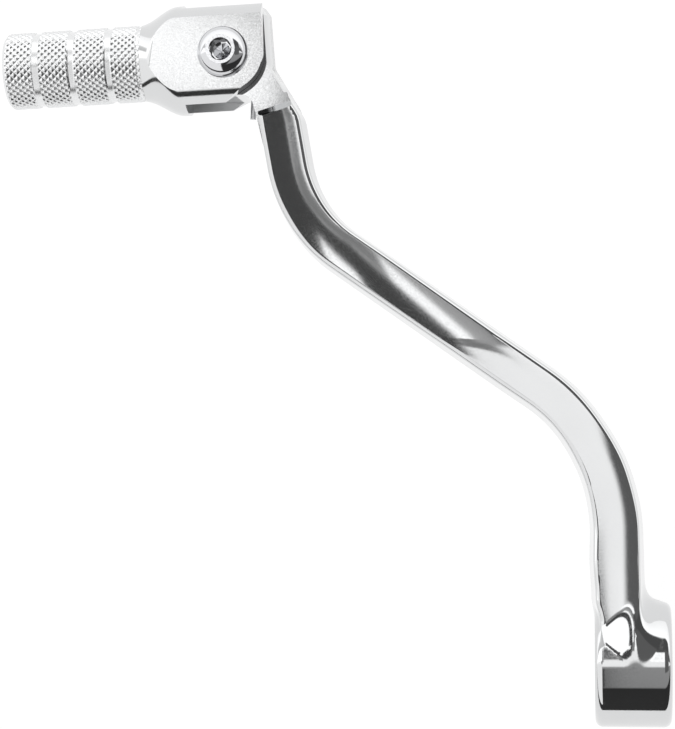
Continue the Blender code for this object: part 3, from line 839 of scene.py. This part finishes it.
def build_barrel(material):
    steps = 408
    along = np.linspace(BARREL_END, BARREL_JOIN + 0.05, 236)
    around = np.linspace(0.0, 2 * math.pi, steps, endpoint=False)
    radius = barrel_radius(around[None, :], along[:, None])
    depth = np.repeat(along[:, None], steps, 1)
    rings = np.stack([radius * np.cos(around), radius * np.sin(around), depth], axis=-1)
    barrel = mesh_from_rings("toe_tip_barrel", moved(rings, tip_place()))
    barrel.shade_smooth()
    barrel.set_sharp_from_angle(angle=math.radians(40))
    finish_piece("toe_tip_barrel", barrel, material, "tip", ["toe_tip"])


def build_clevis(material, slot_material):
    profile = [(0.5, BARREL_JOIN)]
    profile += [(float(tip_radius(a)), a) for a in np.arange(BARREL_JOIN, -9.0, 0.22)]
    profile += [(CLEVIS_RADIUS, a) for a in np.arange(-8.9, EAR_END, 1.2)]
    profile += [(CLEVIS_RADIUS, EAR_END), (0.5, EAR_END)]
    body = turned("clevis", profile, 192, tip_place())
    far = 60.0
    past = 30.0
    block = from_pivot([(-far, -far), (far, -far), (far, far), (-far, far)])
    slot = from_pivot(tip_turn([(SLOT_BOTTOM, -far), (far, -far), (far, far), (SLOT_BOTTOM, far)]))
    corner = from_pivot(tip_turn(ear_corner_outline()))
    hole = THREAD_RADIUS + THREAD_PLAY
    leg = Matrix.Translation((PIVOT[0], PIVOT[1] + COIL_RADIUS, 0.0))
    steps = [
        (prism("flat_front", block, FLAT_HALF, past), "DIFFERENCE"),
        (prism("flat_rear", block, -past, -FLAT_HALF), "DIFFERENCE"),
        (prism("slot", slot, -SLOT_HALF, SLOT_HALF), "DIFFERENCE"),
        (prism("ear_corner", corner, -past, past), "DIFFERENCE"),
        (turned("pivot_hole", [(hole, -past), (hole, past)], 64, at_pivot()), "DIFFERENCE"),
        (turned("leg_hole", [(LEG_HOLE_RADIUS, -past), (LEG_HOLE_RADIUS, 0.0)], 24, leg), "DIFFERENCE"),
    ]
    mesh = combined("toe_tip_clevis", body, steps)
    polish(mesh, [tip_surface])
    clevis = finish_piece("toe_tip_clevis", mesh, material, "tip", ["toe_tip"])
    clevis.data.materials.append(slot_material)
    for face in clevis.data.polygons:
        if abs(face.center.z) < (SLOT_HALF + 0.05) * MM and abs(face.normal.z) > 0.98:
            face.material_index = 1


def ear_corner_outline():
    curve = arc((0.0, 0.0), EAR_END, EAR_CORNER_TURN, 0.0, 30)
    start = Vector(curve[0])
    tangent = Vector((math.sin(EAR_CORNER_TURN), -math.cos(EAR_CORNER_TURN)))
    down = start + tangent * 12.0
    return [tuple(down)] + curve + [(EAR_END + 10.0, 0.0), (EAR_END + 10.0, down.y)]


# ---------------------------------------------------------------- the pivot bolt


def build_pivot_bolt(material):
    base = FLAT_HALF + BOLT_GAP
    end = base - BOLT_LENGTH
    rim = base + BOLT_HEAD_RIM
    top = rim + BOLT_DOME_HEIGHT
    profile = [(0.2, end), (2.4, end), (THREAD_RADIUS, end + 0.6), (THREAD_RADIUS, base)]
    profile += [(BOLT_HEAD_RADIUS - 0.25, base), (BOLT_HEAD_RADIUS, rim)]
    for i in range(1, BOLT_DOME_STEPS + 1):
        turn = i / BOLT_DOME_STEPS * BOLT_DOME_TURN
        rise = BOLT_DOME_HEIGHT * math.sin(turn) / math.sin(BOLT_DOME_TURN)
        profile.append((max(BOLT_HEAD_RADIUS * math.cos(turn), 3.05), rim + rise))
    profile.append((2.75, top))
    body = turned("bolt", profile, 128, at_pivot())
    hexagon = from_pivot(regular(SOCKET_ACROSS / math.sqrt(3), 6, SOCKET_TURN))
    mouth = [(1.8, top - 0.6), (3.3, top + 0.9)]
    drill = [(0.05, top - 3.3), (1.95, top - 2.0), (1.95, top - 1.9)]
    steps = [
        (prism("socket", hexagon, top - SOCKET_DEPTH, top + 2), "DIFFERENCE"),
        (turned("mouth", mouth, 64, at_pivot()), "DIFFERENCE"),
        (turned("drill", drill, 48, at_pivot()), "DIFFERENCE"),
    ]
    mesh = combined("pivot_bolt_head", body, steps)
    polish(mesh, [], 30.0)
    finish_piece("pivot_bolt_head", mesh, material, "tip", ["pivot_bolt"])


# ---------------------------------------------------------------- studio


def add_camera():
    data = bpy.data.cameras.new("camera")
    data.sensor_fit = "VERTICAL"
    data.sensor_height = SENSOR_HEIGHT
    data.lens = SENSOR_HEIGHT / VIEW_SPREAD
    data.clip_end = 20.0
    right = Vector((0.0, 1.0, 0.0)).cross(TOWARDS_CAMERA).normalized()
    up = TOWARDS_CAMERA.cross(right)
    turn = Matrix((right, up, TOWARDS_CAMERA)).transposed().to_4x4()
    camera = bpy.data.objects.new("camera", data)
    camera.matrix_world = Matrix.Translation((TARGET + TOWARDS_CAMERA * CAMERA_DISTANCE) * MM) @ turn
    bpy.context.scene.collection.objects.link(camera)
    bpy.context.scene.camera = camera


def math_node(tree, operation, first, second=None):
    node = tree.nodes.new("ShaderNodeMath")
    node.operation = operation
    for socket, value in zip(node.inputs, (first, second)):
        if value is None:
            continue
        if isinstance(value, (int, float)):
            socket.default_value = value
        else:
            tree.links.new(value, socket)
    return node.outputs["Value"]


def tent_material():
    """Emission of the light tent by direction: panels and gaps over the lever."""
    material = bpy.data.materials.new("light_tent")
    material.use_nodes = True
    tree = material.node_tree
    tree.nodes.clear()
    place = tree.nodes.new("ShaderNodeTexCoord")
    split = tree.nodes.new("ShaderNodeSeparateXYZ")
    tree.links.new(place.outputs["Object"], split.inputs["Vector"])
    towards_y = math_node(tree, "ARCTAN2", split.outputs["Y"], split.outputs["Z"])
    towards_x = math_node(tree, "ARCTAN2", split.outputs["X"], split.outputs["Z"])
    tone = tone_ramp(tree, towards_y, TENT_TONES)
    for brightness, across, along in TENT_PANELS:
        share = math_node(tree, "MULTIPLY", window(tree, towards_x, *across), window(tree, towards_y, *along))
        tone = mix_value(tree, tone, brightness, share)
    glow = tree.nodes.new("ShaderNodeEmission")
    tree.links.new(tone, glow.inputs["Strength"])
    out = tree.nodes.new("ShaderNodeOutputMaterial")
    tree.links.new(glow.outputs["Emission"], out.inputs["Surface"])
    return material


def tone_ramp(tree, angle, tones):
    """Brightness that changes evenly between the listed angles."""
    ramp = tree.nodes.new("ShaderNodeFloatCurve")
    share = tree.nodes.new("ShaderNodeMapRange")
    share.inputs["From Min"].default_value = -math.pi
    share.inputs["From Max"].default_value = math.pi
    tree.links.new(angle, share.inputs["Value"])
    tree.links.new(share.outputs["Result"], ramp.inputs["Value"])
    curve = ramp.mapping.curves[0]
    points = [(0.0, tones[0][1] / 2)]
    points += [((degrees + 180.0) / 360.0, tone / 2) for degrees, tone in tones]
    points.append((1.0, tones[-1][1] / 2))
    curve.points[0].location = points[0]
    curve.points[1].location = points[-1]
    for point in points[1:-1]:
        curve.points.new(*point)
    for point in curve.points:
        point.handle_type = "VECTOR"
    ramp.mapping.update()
    return math_node(tree, "MULTIPLY", ramp.outputs["Value"], 2.0)


def window(tree, angle, low, high, edge):
    """One between two angles, in degrees, and nothing outside them."""
    rise = tree.nodes.new("ShaderNodeMapRange")
    rise.interpolation_type = "SMOOTHSTEP"
    rise.inputs["From Min"].default_value = math.radians(low - edge)
    rise.inputs["From Max"].default_value = math.radians(low + edge)
    tree.links.new(angle, rise.inputs["Value"])
    fall = tree.nodes.new("ShaderNodeMapRange")
    fall.interpolation_type = "SMOOTHSTEP"
    fall.inputs["From Min"].default_value = math.radians(high - edge)
    fall.inputs["From Max"].default_value = math.radians(high + edge)
    fall.inputs["To Min"].default_value = 1.0
    fall.inputs["To Max"].default_value = 0.0
    tree.links.new(angle, fall.inputs["Value"])
    return math_node(tree, "MULTIPLY", rise.outputs["Result"], fall.outputs["Result"])


def mix_value(tree, base, other, share):
    keep = math_node(tree, "MULTIPLY", base, math_node(tree, "SUBTRACT", 1.0, share))
    return math_node(tree, "ADD", keep, math_node(tree, "MULTIPLY", share, other))


def add_tent():
    tent = bpy.data.meshes.new("light_tent")
    shape = bmesh.new()
    bmesh.ops.create_uvsphere(shape, u_segments=TENT_STEPS, v_segments=TENT_STEPS // 2, radius=STAGE_REACH)
    bmesh.ops.delete(shape, geom=[v for v in shape.verts if v.co.z < TENT_FOOT], context="VERTS")
    shape.to_mesh(tent)
    shape.free()
    tent.materials.append(tent_material())
    dome = put("light_tent", tent)
    dome.visible_camera = False
    dome.visible_shadow = False


def add_floor():
    material, tree, shader = new_material("floor")
    shader.inputs["Base Color"].default_value = (0.12, 0.12, 0.12, 1.0)
    shader.inputs["Roughness"].default_value = 1.0
    shader.inputs["Specular IOR Level"].default_value = 0.0
    shader.inputs["Emission Color"].default_value = (1.0, 1.0, 1.0, 1.0)
    shader.inputs["Emission Strength"].default_value = 0.95
    mesh = bpy.data.meshes.new("floor")
    low = CAD_BOUNDS[0][2] - FLOOR_GAP * MM
    far = STAGE_REACH
    corners = [(-far, -far, low), (far, -far, low), (far, far, low), (-far, far, low)]
    mesh.from_pydata(corners, [], [(0, 1, 2, 3)])
    mesh.materials.append(material)
    put("floor", mesh)


def add_world():
    world = bpy.data.worlds.new("studio")
    world.use_nodes = True
    background = world.node_tree.nodes["Background"]
    background.inputs["Color"].default_value = (1.0, 1.0, 1.0, 1.0)
    background.inputs["Strength"].default_value = 1.0
    bpy.context.scene.world = world
    bpy.context.scene.view_settings.view_transform = "Standard"


# ---------------------------------------------------------------- assembly


def main():
    add_camera()
    add_world()
    add_floor()
    add_tent()
    materials = {row[0]: metal(*row) for row in METALS}
    materials["nylon"] = plastic("nylon", (0.055, 0.09, 0.20), 0.42)
    build_arm(materials["polished_aluminium"])
    build_barrel(materials["knurled_aluminium"])
    build_clevis(materials["machined_aluminium"], materials["milled_aluminium"])
    build_pivot_bolt(materials["plated_steel"])
    for node, name in CARRIED_OVER.items():
        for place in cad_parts[node].material_slots:
            place.material = materials[name]


main()
